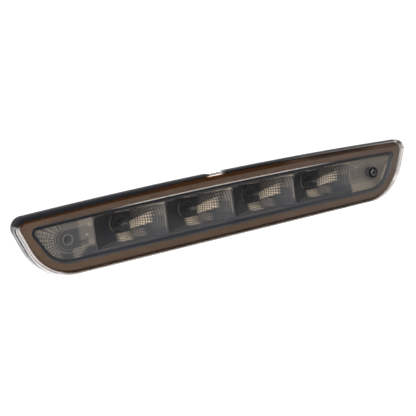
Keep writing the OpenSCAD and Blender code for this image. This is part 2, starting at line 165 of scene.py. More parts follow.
def mesh_piece(name, verts, faces, smooth_angle=35.0, attributes=None):
    """A mesh object from whole arrays, with doubled points merged and faces outward.

    An attribute of one number a point is a plain value, and one of four numbers is a colour.
    """
    mesh = bpy.data.meshes.new(name)
    mesh.from_pydata((np.asarray(verts) * MM).tolist(), [], np.asarray(faces).tolist())
    for key, values in (attributes or {}).items():
        colour = np.shape(values)[-1] == 4
        kind, field = ("FLOAT_COLOR", "color") if colour else ("FLOAT", "value")
        layer = mesh.attributes.new(key, kind, "POINT")
        layer.data.foreach_set(field, np.asarray(values, np.float32).ravel())
    work = bmesh.new()
    work.from_mesh(mesh)
    bmesh.ops.remove_doubles(work, verts=work.verts, dist=2e-7)
    bmesh.ops.dissolve_degenerate(work, dist=2e-8, edges=work.edges)
    bmesh.ops.recalc_face_normals(work, faces=work.faces)
    if work.calc_volume(signed=True) < 0:
        bmesh.ops.reverse_faces(work, faces=work.faces)
    work.to_mesh(mesh)
    work.free()
    mesh.polygons.foreach_set("use_smooth", np.ones(len(mesh.polygons), bool))
    mesh.set_sharp_from_angle(angle=math.radians(smooth_angle))
    obj = bpy.data.objects.new(name, mesh)
    bpy.context.scene.collection.objects.link(obj)
    return obj


def grid_faces(rows, cols, closed, start=0):
    """Quads of a rows by cols grid of points, which may be closed on itself both ways."""
    r = np.arange(rows if closed else rows - 1)
    c = np.arange(cols if closed else cols - 1)
    r, c = np.meshgrid(r, c, indexing="ij")
    r2, c2 = (r + 1) % rows, (c + 1) % cols
    quads = np.stack([r * cols + c, r * cols + c2, r2 * cols + c2, r2 * cols + c], -1)
    return quads.reshape(-1, 4) + start


def ring_piece(name, loops, smooth_angle=35.0, attributes=None):
    """A closed solid skin through a list of loops of equal length, the last joined to the first."""
    stack = np.stack(loops)
    rows, cols = stack.shape[:2]
    return mesh_piece(
        name, stack.reshape(-1, 3), grid_faces(rows, cols, True), smooth_angle, attributes
    )


def dress(obj, material, body="lamp", replaces=()):
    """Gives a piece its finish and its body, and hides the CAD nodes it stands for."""
    obj.data.materials.append(material)
    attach(obj, body)
    if replaces:
        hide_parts(*replaces)
    return obj


# ---------------------------------------------------------------- shader maths


class Value:
    """A node socket that takes part in ordinary Python arithmetic."""

    def __init__(self, graph, socket):
        self.graph, self.socket = graph, socket

    def _do(self, operation, a, b=0.0, clamp=False):
        """One Math node on two values or numbers."""
        settings = {"operation": operation, "use_clamp": clamp}
        return self.graph.node("ShaderNodeMath", settings, {0: a, 1: b})

    def __add__(self, other):
        return self._do("ADD", self, other)

    __radd__ = __add__

    def __mul__(self, other):
        return self._do("MULTIPLY", self, other)

    __rmul__ = __mul__

    def __sub__(self, other):
        return self._do("SUBTRACT", self, other)

    def __rsub__(self, other):
        return self._do("SUBTRACT", other, self)

    def clamp(self):
        """The same value kept between 0 and 1."""
        return self._do("ADD", self, 0.0, clamp=True)

    def ease(self, low, high):
        """0 below low, 1 above high and a smooth step between."""
        return self.graph.node(
            "ShaderNodeMapRange",
            {"interpolation_type": "SMOOTHSTEP"},
            {"Value": self, "From Min": low, "From Max": high},
        )


class Graph:
    """A node tree whose nodes are made through one method."""

    def __init__(self, tree):
        self.tree = tree

    def feed(self, socket, value):
        """Puts a number, colour, vector or link on a socket."""
        if isinstance(value, Value):
            self.tree.links.new(value.socket, socket)
        elif socket.type == "RGBA":
            socket.default_value = (*value, 1)
        else:
            socket.default_value = value

    def node(self, kind, settings=None, values=None, out=0):
        """Any node: its settings first, then the values or links of its sockets."""
        made = self.tree.nodes.new(kind)
        for key, value in (settings or {}).items():
            setattr(made, key, value)
        for key, value in (values or {}).items():
            self.feed(made.inputs[key], value)
        return Value(self, made.outputs[out])


class Paint(Graph):
    """A material: its main shader and the patterns that finishes are mixed from."""

    def __init__(self, name, **sockets):
        self.material = bpy.data.materials.new(name)
        self.material.use_nodes = True
        super().__init__(self.material.node_tree)
        self.shader = self.tree.nodes["Principled BSDF"]
        self.out = self.tree.nodes["Material Output"]
        for key, value in sockets.items():
            self.set(key.replace("_", " "), value)

    def set(self, key, value):
        """Feeds one of the main shader's sockets."""
        self.feed(self.shader.inputs[key], value)

    def place(self):
        """Object coordinates, in metres."""
        return self.node("ShaderNodeTexCoord", out="Object")

    def axis(self, name):
        """One of the object coordinates."""
        return self.node("ShaderNodeSeparateXYZ", None, {0: self.place()}, out=name)

    def own(self, name, out="Fac"):
        """An attribute of the piece's own mesh: its number, colour or alpha."""
        return self.node("ShaderNodeAttribute", {"attribute_name": name}, out=out)

    def noise(self, scale, detail=2.0, rough=0.5, stretch=None):
        """Cloudy noise, drawn out along an axis where its stretch is small."""
        place = self.place()
        if stretch:
            place = self.node("ShaderNodeMapping", None, {"Vector": place, "Scale": stretch})
        return self.node(
            "ShaderNodeTexNoise", None,
            {"Vector": place, "Scale": scale, "Detail": detail, "Roughness": rough},
        )

    def cells(self, scale):
        """Distance to the nearest of scattered points."""
        return self.node("ShaderNodeTexVoronoi", None, {"Vector": self.place(), "Scale": scale})

    def mix(self, factor, a, b):
        """A colour between a and b."""
        return self.node(
            "ShaderNodeMix", {"data_type": "RGBA"}, {0: factor, 6: a, 7: b}, out=2
        )

    def bump(self, height, distance, strength=1.0):
        """Relief of a height map on the main shader, its full height given in metres."""
        self.set(
            "Normal",
            self.node(
                "ShaderNodeBump", None,
                {"Height": height, "Distance": distance, "Strength": strength},
            ),
        )


def moulded(name, dark, light, rough=0.5, grain=2600, depth=0.00004, spread=0.08, **more):
    """Moulded plastic or rubber: fine spark-eroded grain, slow mottling and faint handling wear."""
    p = Paint(name, **more)
    mottle = p.noise(55, 3, 0.6)
    fine = p.noise(grain, 2, 0.6)
    p.set("Base Color", p.mix((mottle * 0.7 + fine * 0.3).clamp(), dark, light))
    p.set("Roughness", (fine - 0.5) * spread * 2 + (mottle - 0.5) * spread + rough)
    p.bump(fine, depth)
    return p.material


def metal(name, dark, light, rough=0.3, stretch=(1, 1, 1), grain=900, depth=0.00001):
    """Plated or drawn metal: fine streaks along one axis, and cloudy dulling."""
    p = Paint(name, Metallic=1.0)
    streak = p.noise(grain, 2, 0.6, stretch)
    cloud = p.noise(140, 3, 0.6)
    p.set("Base Color", p.mix((streak * 0.5 + cloud * 0.5).clamp(), dark, light))
    p.set("Roughness", streak * 0.16 + cloud * 0.2 + (rough - 0.18))
    p.bump(streak, depth)
    return p.material


def clear_lens():
    """Lightly smoked clear moulding whose tint carries painted reflections and shade along its rim,
    and a matte black painted shade where its tint's fourth value is 1.

    Lamps shine through it as through a thin tinted pane.
    """
    p = Paint("smoked_lens", Roughness=0.015, IOR=1.32)
    p.set("Base Color", p.own("tint", "Color"))
    p.set("Transmission Weight", 1.0)
    p.bump(p.noise(38, 1.5, 0.4), 0.00002, 0.25)
    shadow = p.node("ShaderNodeLightPath", out="Is Shadow Ray")
    pane = p.node("ShaderNodeBsdfTransparent", None, {"Color": (0.72, 0.71, 0.70)})
    # Matte black painted shade for the dark inside of the lamp seen through the top edge
    painted_shade_coat = p.node("ShaderNodeBsdfPrincipled", None, {
        "Base Color": (0.012, 0.012, 0.014), "Roughness": 0.6, "Specular IOR Level": 0.02,
    })
    rim = p.node("ShaderNodeMixShader", None, {
        0: p.own("tint", "Alpha"), 1: Value(p, p.shader.outputs[0]), 2: painted_shade_coat,
    })
    both = p.node("ShaderNodeMixShader", None, {0: shadow, 1: rim, 2: pane})
    p.tree.links.new(both.socket, p.out.inputs["Surface"])
    return p.material


def brown_trim():
    """Brown satin trim with a fine grain, a little greyer to the right, with an outer edge tinted by
    its attribute with an orange wash and painted shade.
    """
    p = Paint("brown_trim")
    fine = p.noise(1500, 3, 0.65)
    mottle = p.noise(60, 3, 0.55)
    tone = (fine * 0.65 + mottle * 0.35).ease(0.25, 0.75)
    left = p.mix(tone, (0.084, 0.050, 0.028), (0.124, 0.075, 0.045))
    right = p.mix(tone, (0.118, 0.082, 0.060), (0.158, 0.112, 0.086))
    plain = p.mix(p.axis("X").ease(-0.02, 0.2), left, right)
    p.set("Base Color", p.mix(p.own("tint", "Alpha"), plain, p.own("tint", "Color")))
    p.set("Roughness", fine * 0.2 + 0.42)
    p.bump(fine, 0.00003)
    return p.material


def painted_highlight_lip():
    """Polished chamfer of the trim's window edge, with a painted highlight along its middle."""
    p = Paint("trim_lip", Metallic=0.2)
    streak = p.noise(900, 2, 0.5, (0.1, 1, 1))
    # Painted highlight, strongest where the attribute is 1
    painted_lip_highlight = (p.own("painted_shine") * (streak * 0.4 + 0.8)).clamp()
    p.set("Base Color", p.mix(painted_lip_highlight, (0.05, 0.052, 0.06), (0.98, 0.93, 0.88)))
    p.set("Roughness", streak * 0.2 + 0.3)
    return p.material


def faceted_chrome():
    """Metallised reflector whose colour is painted light: painted shade in its plain flanks and
    creamy painted highlights on its pillows.
    """
    p = Paint("reflector_chrome", Specular_IOR_Level=0.02)
    painted_shine = p.own("painted_shine")
    fleck = p.noise(700, 2, 0.6)
    # Painted light: dark where the chrome mirrors the dark inside of the lamp, creamy where it
    # mirrors the lamps
    bright = (painted_shine * (fleck * 0.5 + 0.75)).clamp()
    p.set("Base Color", p.mix(bright, (0.057, 0.062, 0.073), (1.0, 0.85, 0.66)))
    p.set("Metallic", bright * 0.3 + 0.02)
    p.set("Roughness", fleck * 0.12 + 0.5 - bright * 0.15)
    p.bump(fleck, 0.000006)
    return p.material


def dark_frame():
    """Near-black satin moulding with a painted navy reflection that grows paler towards the lamp's
    right end.
    """
    p = Paint("dark_frame", Specular_IOR_Level=0.2)
    fine = p.noise(1800, 2, 0.6)
    # Painted reflection: bluish, darker on the left and paler on the right
    left = p.mix(fine, (0.011, 0.014, 0.020), (0.018, 0.022, 0.030))
    right = p.mix(fine, (0.050, 0.054, 0.064), (0.066, 0.071, 0.082))
    p.set("Base Color", p.mix(p.axis("X").ease(0.0, 0.19), left, right))
    p.set("Roughness", fine * 0.1 + 0.6)
    p.bump(fine, 0.00001)
    return p.material


def jet_plastic():
    """Satin black moulding, painted a dull grey along the barrel behind the lens, painted light that
    blends it into the reflector round it.
    """
    p = Paint("jet_plastic", Specular_IOR_Level=0.12)
    fine = p.noise(2200, 2, 0.6)
    # Painted light: the barrel behind the lens is painted grey
    behind = p.axis("Y").ease(-0.0135, -0.0125)
    collar = p.mix(fine, (0.003, 0.003, 0.004), (0.008, 0.008, 0.009))
    p.set("Base Color", p.mix(behind, collar, (0.042, 0.043, 0.046)))
    p.set("Roughness", behind * 0.4 + 0.4 + fine * 0.08)
    p.bump(fine, 0.000008)
    return p.material


def bulb_glass():
    """Thin clear glass, drawn as a pane that lamps shine through."""
    p = Paint("bulb_glass", Roughness=0.3, IOR=1.1, Specular_IOR_Level=0.02)
    fine = p.noise(260, 2, 0.5)
    p.set("Base Color", p.mix(fine, (0.22, 0.23, 0.25), (0.30, 0.31, 0.33)))
    p.set("Alpha", fine * 0.04 + 0.03)
    return p.material


def foam():
    """Closed-cell foam: small round cells that dent its skin."""
    p = Paint("foam", Roughness=0.9)
    cell = p.cells(1100)
    p.set("Base Color", p.mix(cell, (0.026, 0.027, 0.029), (0.070, 0.072, 0.076)))
    p.bump(cell, 0.00018)
    return p.material


FINISH = {
    "lens": clear_lens(),
    "brown": brown_trim(),
    "lip": painted_highlight_lip(),
    "chrome": faceted_chrome(),
    "glass": bulb_glass(),
    "navy": dark_frame(),
    "black": moulded("housing_plastic", (0.018, 0.0185, 0.020), (0.032, 0.033, 0.035), 0.55),
    "holder": moulded("holder_plastic", (0.040, 0.041, 0.043), (0.066, 0.067, 0.070), 0.5, 1900),
    "rubber": moulded(
        "rubber", (0.012, 0.012, 0.013), (0.024, 0.024, 0.025), 0.72, 1400, 0.00005
    ),
    "sealant": moulded(
        "sealant", (0.010, 0.010, 0.011), (0.020, 0.020, 0.021), 0.62, 420, 0.00012
    ),
    "membrane": moulded(
        "membrane", (0.62, 0.62, 0.60), (0.80, 0.80, 0.78), 0.7, 3000, 0.00004
    ),
    "foam": foam(),
    "jet": jet_plastic(),
    "ball": moulded(
        "jet_ball_plastic", (0.008, 0.008, 0.009), (0.016, 0.016, 0.017),
        0.16, 2200, 0.000006, 0.04,
    ),
    # Painted light: the gate's pad is pale, standing in for the bright surroundings seen through
    # clear plastic
    "painted_light_gate": moulded("gate_face", (0.80, 0.77, 0.75), (0.92, 0.90, 0.88), 0.5, 1500, 0.00002),
    "contact": metal("contact_strip", (0.06, 0.055, 0.05), (0.13, 0.12, 0.10), 0.4),
    "nut": moulded("jet_nut_plastic", (0.014, 0.014, 0.015), (0.030, 0.030, 0.031), 0.45, 2000),
    "poppet": moulded("poppet_plastic", (0.50, 0.50, 0.47), (0.66, 0.66, 0.62), 0.4, 2000),
    "zinc": metal("zinc_steel", (0.50, 0.50, 0.48), (0.72, 0.72, 0.70), 0.34),
    "brass": metal("brass", (0.56, 0.38, 0.14), (0.66, 0.49, 0.26), 0.42, (0.06, 1, 1)),
    "tin": metal("tin_brass", (0.60, 0.52, 0.34), (0.80, 0.74, 0.56), 0.3, (1, 0.06, 1)),
    "wire": metal("filament", (0.28, 0.28, 0.29), (0.45, 0.45, 0.46), 0.4, (1, 0.1, 1)),
    "spring": metal("spring_steel", (0.50, 0.50, 0.50), (0.70, 0.70, 0.70), 0.28),
}


# ---------------------------------------------------------------- lens


def towards(points, centre, radius):
    """The point of a circle round centre that lies towards each of the given points."""
    d = points - centre
    return centre + radius * d / np.linalg.norm(d, axis=1, keepdims=True)


def normals(points):
    """Outward unit normals of a closed loop of the front view."""
    along = np.roll(points, -1, 0) - np.roll(points, 1, 0)
    out = np.stack([-along[:, 1], along[:, 0]], 1)
    return out / np.linalg.norm(out, axis=1, keepdims=True)


def layers(count, base, *washes):
    """Colours from a base colour with further colours washed over it, each by its own weight."""
    colour = np.tile(np.array(base, float), (count, 1))
    for weight, wash in washes:
        w = np.broadcast_to(np.asarray(weight, float), (count,))[:, None]
        colour = colour * (1 - w) + np.array(wash, float) * w
    return colour


def rim_tint(points, inset):
    """Tint of the clear rim at an inset from its edge, and in a fourth column how matte it is.

    Its top carries painted shade: black on the left, where the dark inside of the lamp shows through
    the rounded edge, narrowing along the lamp to a thin line, with an orange wash and then a cream
    painted reflection inside it. The ends are painted reflections, pale bands between thin grey
    lines, and the bottom has a dark painted line.
    """
    n = normals(points)
    x, nx, nz = points[:, 0], n[:, 0], n[:, 1]
    top = step(nz, 0.1, 0.4) * (x < 0) + step(nz, 0.3, 0.6) * (x >= 0)
    side = step(np.abs(nx), 0.25, 0.5) * (1 - top) * (1 - step(x, 100, 120) * step(-nz, 0.45, 0.7))
    bottom = (1 - top) * (1 - side)
    width = 3.6 - 2.3 * step(x, -150, -20) - 0.9 * step(x, 20, 90)
    # Painted shade: black where the dark inside of the lamp shows through the top edge, narrowing to
    # the right
    black = top * (1 - step(inset, width - 0.3, width + 0.3))
    amber = top * (1 - step(x, 50, 90)) * step(inset, width - 0.3, width + 0.3)
    # Painted reflection: a cream band along the top at the right
    cream = top * step(x, 50, 90) * step(inset, 0.3, 0.6)
    gate = top * step(x, -22.5, -20.5) * (1 - step(x, -7.5, -5.5)) * (1 - step(inset, 1.5, 1.9))
    # Painted reflections of the rounded ends, pale and pink bands between dark lines, and a dark
    # painted line along the bottom
    outer = side * (1 - step(inset, 0.5, 0.9))
    pale = side * step(inset, 0.5, 0.9)
    line = side * step(inset, 1.7, 1.9) * (1 - step(inset, 2.3, 2.6))
    pink = side * step(inset, 2.3, 2.6)
    under = bottom * step(inset, 1.6, 2.0)
    inside = float(inset > RIM_INSET)
    colour = layers(
        len(points), (0.98, 0.96, 0.95),
        (outer, (0.06, 0.06, 0.06)), (pale, (0.60, 0.55, 0.53)), (line, (0.08, 0.08, 0.08)),
        (pink, (0.36, 0.30, 0.28)), (under, (0.09, 0.07, 0.06)), (amber, (0.17, 0.075, 0.018)),
        (cream, (0.36, 0.30, 0.26)), (black, (0.006, 0.006, 0.008)), (gate, (0.86, 0.82, 0.80)),
        (inside, (0.80, 0.79, 0.78)),
    )
    # The painted black shade is made matte
    matte = np.clip(black - gate, 0, 1) * (1 - inside)
    return np.concatenate([colour, matte[:, None]], 1)


def lens_shell():
    """Clear lid: skirt, rounded front edge, flat front and flat inner face round the jet's hole.

    Every loop is the face's outline moved in by some amount and set at some depth. The
    rounded edge is a quarter ellipse, inset = w (1 - cos a) and depth = front + d (1 - sin a).
    The flat faces are rays from the jet's hole to the outline.
    """
    front, rear = lens_low[1], lens_high[1]
    inner = front + LENS_WALL
    hole = np.array([JET_X, 0.0])
    loops, tints = [], []

    def add(points, y, inset=FULL_INSET):
        """One more loop, tinted by its inset from the face's edge."""
        loops.append(loop(points, y))
        tints.append(rim_tint(points, inset))

    add(outline(shrink(FACE, 0.02, 0.02)), rear, 0)
    for y in np.linspace(rear - 0.3, front + 3.0, 5):
        add(outline(shrink(FACE, 0, 0)), y, 0)
    for a in np.linspace(0, math.pi / 2, 14)[1:]:
        inset = EDGE_REACH * (1 - math.cos(a))
        add(outline(shrink(FACE, inset, inset)), front + EDGE_DEPTH * (1 - math.sin(a)), inset)
    for inset in (2.6, 3.0, 3.6, 4.2, 5.1):
        add(outline(shrink(FACE, inset, inset)), front, inset)
    rim = outline(shrink(FACE, 5.4, 5.4))
    add(rim, front)
    for s in (0.15, 0.5, 0.9):
        add(rim + (towards(rim, hole, JET_HOLE_R + 0.4) - rim) * s, front)
    add(towards(rim, hole, JET_HOLE_R + 0.3), front)
    add(towards(rim, hole, JET_HOLE_R), front + 0.25)
    cavity = shrink(FACE, RIM_EDGE, RIM_END)
    add(towards(rim, hole, JET_HOLE_R), inner - 0.05)
    add(towards(rim, hole, JET_HOLE_R + 0.1), inner)
    room = outline(shrink(cavity, 1.0, 1.0))
    for s in (0.9, 0.5, 0.15, 0.0):
        add(room + (towards(rim, hole, JET_HOLE_R + 0.4) - room) * s, inner)
    add(outline(shrink(cavity, 0.3, 0.3)), inner + 0.1)
    add(outline(cavity), inner + 0.7)
    for y in np.linspace(inner + 1.5, rear, 4):
        add(outline(cavity), y)
    return ring_piece("lens_shell", loops, 28, {"tint": np.stack(tints)})


def gate_flat():
    """The moulding gate's flat on the skirt's top: a low pad that falls away at its borders.

    Its height over the pad is h (1 - u^8) (1 - (2 v - 1)^6), for u from -1 to 1 and v from 0 to 1.
    """
    u = np.linspace(-1, 1, 25)
    v = np.linspace(0, 1, 9)
    U, V = np.meshgrid(u, v, indexing="ij")
    x = GATE_X + GATE_HALF * U
    y = lens_high[1] - 0.1 - 2.7 * V
    z = TOP - 0.55 + 0.8 * (1 - U**8) * (1 - (2 * V - 1) ** 6)
    top = np.stack([x, y, z], -1)
    low = np.stack([x, y, np.full_like(z, TOP - 0.75)], -1)
    rows, cols = U.shape
    verts = np.concatenate([top.reshape(-1, 3), low.reshape(-1, 3)])
    n = rows * cols
    ring = np.concatenate([
        np.arange(cols), np.arange(1, rows) * cols + cols - 1,
        (rows - 1) * cols + np.arange(cols - 2, -1, -1), np.arange(rows - 2, 0, -1) * cols,
    ])
    nxt = np.roll(ring, -1)
    wall = np.stack([ring, nxt, nxt + n, ring + n], 1)
    faces = np.concatenate([
        grid_faces(rows, cols, False), grid_faces(rows, cols, False, n), wall
    ])
    return mesh_piece("lens_gate", verts, faces, 40)


# ---------------------------------------------------------------- trim


def trim_band():
    """Flat brown ring with softened edges, between the lens's cavity and the window.

    Along the top its outer edge carries painted shade, black at the left, then an orange wash, then
    a dark brown painted shade.
    """
    front, back = bezel_low[1], bezel_high[1]
    outer = shrink(FACE, RIM_EDGE + 0.3, RIM_END + 0.3)
    steps = [
        (outer, 0, back), (outer, 0, front + 0.5), (outer, 0.12, front + 0.1),
        (outer, 0.45, front), (outer, 0.8, front), (outer, 1.2, front), (outer, 1.6, front),
        (outer, 2.2, front), (outer, 3.0, front),
        (WINDOW, -1.6, front), (WINDOW, -0.7, front), (WINDOW, -0.6, back),
    ]
    loops, tints = [], []
    for o, inset, y in steps:
        points = outline(shrink(o, inset, inset))
        x, top = points[:, 0], step(normals(points)[:, 1], 0.3, 0.9)
        depth = inset if o is outer else FULL_INSET
        # Painted shade along the top edge: black at the left and dark brown at the right
        painted_shade_edge = top * (1 - step(x, -110, -40)) * (1 - step(depth, 1.0, 1.5))
        orange = top * (1 - step(x, 60, 110)) * (1 - step(depth, 1.6, 3.0))
        orange = orange * (1 - 0.35 * step(x, -60, 60))
        brown = top * step(x, 50, 90) * (1 - step(x, 130, 170)) * (1 - step(depth, 1.2, 2.8))
        colour = layers(
            len(points), (0.130, 0.052, 0.007),
            (brown, (0.040, 0.016, 0.008)), (painted_shade_edge, (0.010, 0.010, 0.011)),
        )
        weight = np.maximum(np.maximum(painted_shade_edge, orange), brown)
        loops.append(loop(points, y))
        tints.append(np.concatenate([colour, weight[:, None]], 1))
    return ring_piece("trim_band", loops, 40, {"tint": np.stack(tints)})


def trim_lip():
    """Polished chamfer round the window: a narrow three-sided bead carried along the outline."""
    front, back = bezel_low[1], bezel_high[1]
    steps = [
        (-0.55, back), (-0.62, front + 0.02), (-0.2, front + 0.06),
        (0.35, front + 0.75), (0.4, back),
    ]
    loops = [loop(outline(shrink(WINDOW, e, e)), y) for e, y in steps]
    x, z = loops[0][:, 0], loops[0][:, 2]
    # Painted highlight along the top of the window, fading out towards the ends
    painted_highlight_fade = np.clip((112 - np.abs(x + 2)) / 30, 0, 1) * (z > 5)
    painted_shine = np.stack([painted_highlight_fade * w for w in (0.3, 1.0, 1.0, 0.7, 0.2)])
    return ring_piece("trim_lip", loops, 30, {"painted_shine": painted_shine})


def inner_frame():
    """Dark frame behind the trim: a ring whose inner wall leans back towards the reflector."""
    front, back = frame_low[1], frame_high[1]
    steps = [
        (-1.0, back), (-1.0, front), (0.5, front), (0.9, front + 0.12),
        (2.3, front + 1.2), (2.4, back),
    ]
    loops = [loop(outline(shrink(WINDOW, e, e + 0.2 * (e > 2))), y) for e, y in steps]
    return ring_piece("inner_frame", loops, 30)


# ---------------------------------------------------------------- reflector


def reach(border, centre, theta):
    """Distance from centre to a convex border in each direction: its nearest edge line ahead."""
    p = border - centre
    e = np.roll(p, -1, 0) - p
    dx, dz = np.cos(theta)[:, None], np.sin(theta)[:, None]
    crossing = dx * e[None, :, 1] - dz * e[None, :, 0]
    with np.errstate(divide="ignore", invalid="ignore"):
        t = (p[:, 0] * e[:, 1] - p[:, 1] * e[:, 0])[None] / crossing
    t[~(t > 1e-6)] = np.inf
    return t.min(1)


def directions(count, corners=()):
    """Evenly spread angles, with the given corner directions exactly among them."""
    theta = np.linspace(-math.pi, math.pi, count, endpoint=False)
    for c in corners:
        theta[np.argmin(np.abs(theta - c))] = c
    return np.sort(theta)


def box_border(x0, x1, z0, z1):
    """The four corners of a rectangle of the front view."""
    return np.array([[x0, z0], [x1, z0], [x1, z1], [x0, z1]], float)


def window_border(x0, x1, inset):
    """The window's outline moved in by inset, cut to the strip from x0 to x1."""
    pts = outline(shrink(WINDOW, inset, inset))[::-1]
    for sign, limit in ((1, x0), (-1, -x1)):
        out = []
        for a, b in zip(pts, np.roll(pts, -1, 0)):
            ka, kb = sign * a[0] - limit, sign * b[0] - limit
            if ka >= 0:
                out.append(a)
            if (ka >= 0) != (kb >= 0):
                out.append(a + (b - a) * ka / (ka - kb))
        pts = np.array(out)
    return pts


def cap(s):
    """A parabolic pillow over each unit step: 0 at the joints and 1 half-way."""
    f = s - np.floor(s)
    return 1 - (2 * f - 1) ** 2


def step(x, low, high):
    """Smooth step from 0 at low to 1 at high."""
    t = np.clip((x - low) / (high - low), 0, 1)
    return t * t * (3 - 2 * t)


def bowl_depth(r):
    """Parabolic bowl: its depth at a radius from the bulb's axis."""
    return BOWL_Y - BOWL_DEPTH * (r * r - OPENING_R**2) / ((PITCH / 2) ** 2 - OPENING_R**2)


def ridge_line(x, z, x0, z0, x1, z1, width):
    """1 along the straight line between two points of the front view, fading over a width."""
    dx, dz = x1 - x0, z1 - z0
    t = np.clip(((x - x0) * dx + (z - z0) * dz) / (dx**2 + dz**2), 0, 1)
    away = np.hypot(x - x0 - t * dx, z - z0 - t * dz)
    return np.exp(-((away / width) ** 2))


def painted_cell_light(r, a, x, z, pillow):
    """Painted light of a bowl: painted highlights on the fan of pillows beside the opening, on bars,
    dots and arcs, bright painted lines along the top edges and a crescent at the opening's left.

    The fan lies between the lines z = 0.42 (x - 10) and z = -6.2 + 0.22 (x - 10).
    """
    above = 1 - step(z, -0.7 + 0.42 * (x - 10), 0.7 + 0.42 * (x - 10))
    below = step(z, -6.9 + 0.22 * (x - 10), -5.5 + 0.22 * (x - 10))
    fan = 2.2 * above * below * step(x, 8, 9.5)
    fan = fan * (1 - 0.5 * step(x, 17, 22) - 0.5 * step(x, 22, 25))
    bars = 0.045 * step(x, 20, 24) * step(z, -9, -6) * (1 - step(z, 9, 12))
    dots = 0.30 * step(z, 1, 3) * step(x, 9, 12) * (1 - 0.6 * step(x, 24, 26))
    low_dots = 0.30 * step(-z, 6, 7.5) * step(x, 8, 10) * (1 - step(x, 16, 20))
    arcs = step(x, -4, -1) * (1 - step(x, 8, 11))
    over = 0.95 * arcs * step(z, 8.0, 9.0)
    under = 0.72 * step(x, -6, -2) * (1 - step(x, 6, 10)) * step(-z, 7.6, 8.8)
    line = 0.5 * ridge_line(x, z, 15, 10.6, 31, 12.8, 0.5)
    line = line + 0.22 * ridge_line(x, z, -30, 12.8, -16, 10.2, 0.5)
    crescent = 0.5 * step(-np.cos(a), 0.62, 0.9) * (r < OPENING_R + 1.0)
    return (fan + bars + dots + low_dots + over + under) * pillow + line + crescent + 0.01


def reflector_cell(index, x0):
    """One bulb cell: its opening, a bowl with pillows and ribs, its walls and its share of plate.

    The front is rays from the opening's edge to the cell's rectangle. At radius r and angle a
    the depth is the parabola less a pillow, height * cap((r - r0) / pitch) * cap(a / turn).
    """
    corner = math.atan2(CELL_HALF_Z, CELL_HALF_X)
    theta = directions(360, [corner, -corner, math.pi - corner, corner - math.pi])
    n = len(theta)
    ray = np.stack([np.cos(theta), np.sin(theta)], 1)
    half_x, half_z, axis = CELL_HALF_X, CELL_HALF_Z, np.zeros(2)
    inner = reach(box_border(-half_x, half_x, -half_z, half_z), axis, theta)
    outer_border = window_border(x0 - PITCH / 2, x0 + PITCH / 2, PLATE_INSET) - [x0, 0]
    outer = reach(outer_border, axis, theta)
    back_x, back_z = half_x + 0.9, half_z + 1
    back = reach(box_border(-back_x, back_x, -back_z, back_z), axis, theta)
    loops, painted_shines = [], []
    seed = rng.random((60, 80))

    def add(radius, y, painted_shine):
        """One more loop at a radius for each direction."""
        loops.append(loop(ray * radius[:, None] + [x0, 0], y))
        painted_shines.append(np.broadcast_to(painted_shine, (n,)))

    right = step(np.cos(theta), 0.2, 0.5)
    row = np.floor(theta / PILLOW_TURN + 0.5).astype(int)
    for s in np.linspace(0, 1, 120):
        r = OPENING_R + (inner - OPENING_R) * s
        x, z = r * np.cos(theta), r * np.sin(theta)
        col = (r - OPENING_R - 0.5) / PILLOW_PITCH
        ring = cap(col)
        split = right * (1 - step(x, 25, 28))
        pillow = ring * (cap(theta / PILLOW_TURN + 0.5) * split + (1 - split))
        shaped = right + (1 - right) * step(x, -9, -5) * step(np.abs(z), 7.5, 8.6)
        height = PILLOW_HEIGHT * pillow * shaped * step(r, OPENING_R + 0.4, OPENING_R + 1.0)
        tone = 0.72 + 0.45 * seed[np.clip(col.astype(int) + 2, 0, 59), np.clip(row + 40, 0, 79)]
        add(r, bowl_depth(r) - height, painted_cell_light(r, theta, x, z, pillow**1.3 * tone * shaped))
    x, z = inner * np.cos(theta), inner * np.sin(theta)
    # Painted light of the walls: a bright painted line along the right border, a lighter left wall
    # and painted highlights on the floor's arcs
    left_wall = x < 1 - half_x
    border = 0.34 * (x > half_x - 1) * step(z, -15, -6) + 0.05 * left_wall
    floor_arcs = (z < -13) * step(x, -7, -3) * (1 - step(x, 3, 8))
    start = bowl_depth(inner)
    for s in np.linspace(0, 1, 25)[1:]:
        y = start + (PLATE_Y + 0.25 - start) * s
        arc = cap((np.hypot(x, BOWL_Y - y) - 1.2) / 2.3) ** 1.5 * floor_arcs * (s < 0.5)
        lip = 0.5 * border * (s > 0.95)
        add(inner, y, PLAIN_PAINTED_SHINE + 0.04 * left_wall + 0.7 * arc + lip)
    add(inner + 0.12, PLATE_Y, PLAIN_PAINTED_SHINE + border)
    add(np.maximum(outer - 0.02, inner + 0.3), PLATE_Y, PLAIN_PAINTED_SHINE)
    add(np.maximum(outer, inner + 0.4), PLATE_Y + 0.1, PLAIN_PAINTED_SHINE)
    add(np.maximum(outer, inner + 0.4), PLATE_Y + PLATE_T, PLAIN_PAINTED_SHINE)
    add(back, PLATE_Y + PLATE_T + 0.05, PLAIN_PAINTED_SHINE)
    for s in (1.0, 0.66, 0.33, 0.0):
        r = OPENING_R + (back - OPENING_R) * s
        add(r, np.maximum(bowl_depth(r), PLATE_Y) + 1.6, PLAIN_PAINTED_SHINE)
    return ring_piece(f"reflector_cell_{index}", loops, 50, {"painted_shine": np.stack(painted_shines)})


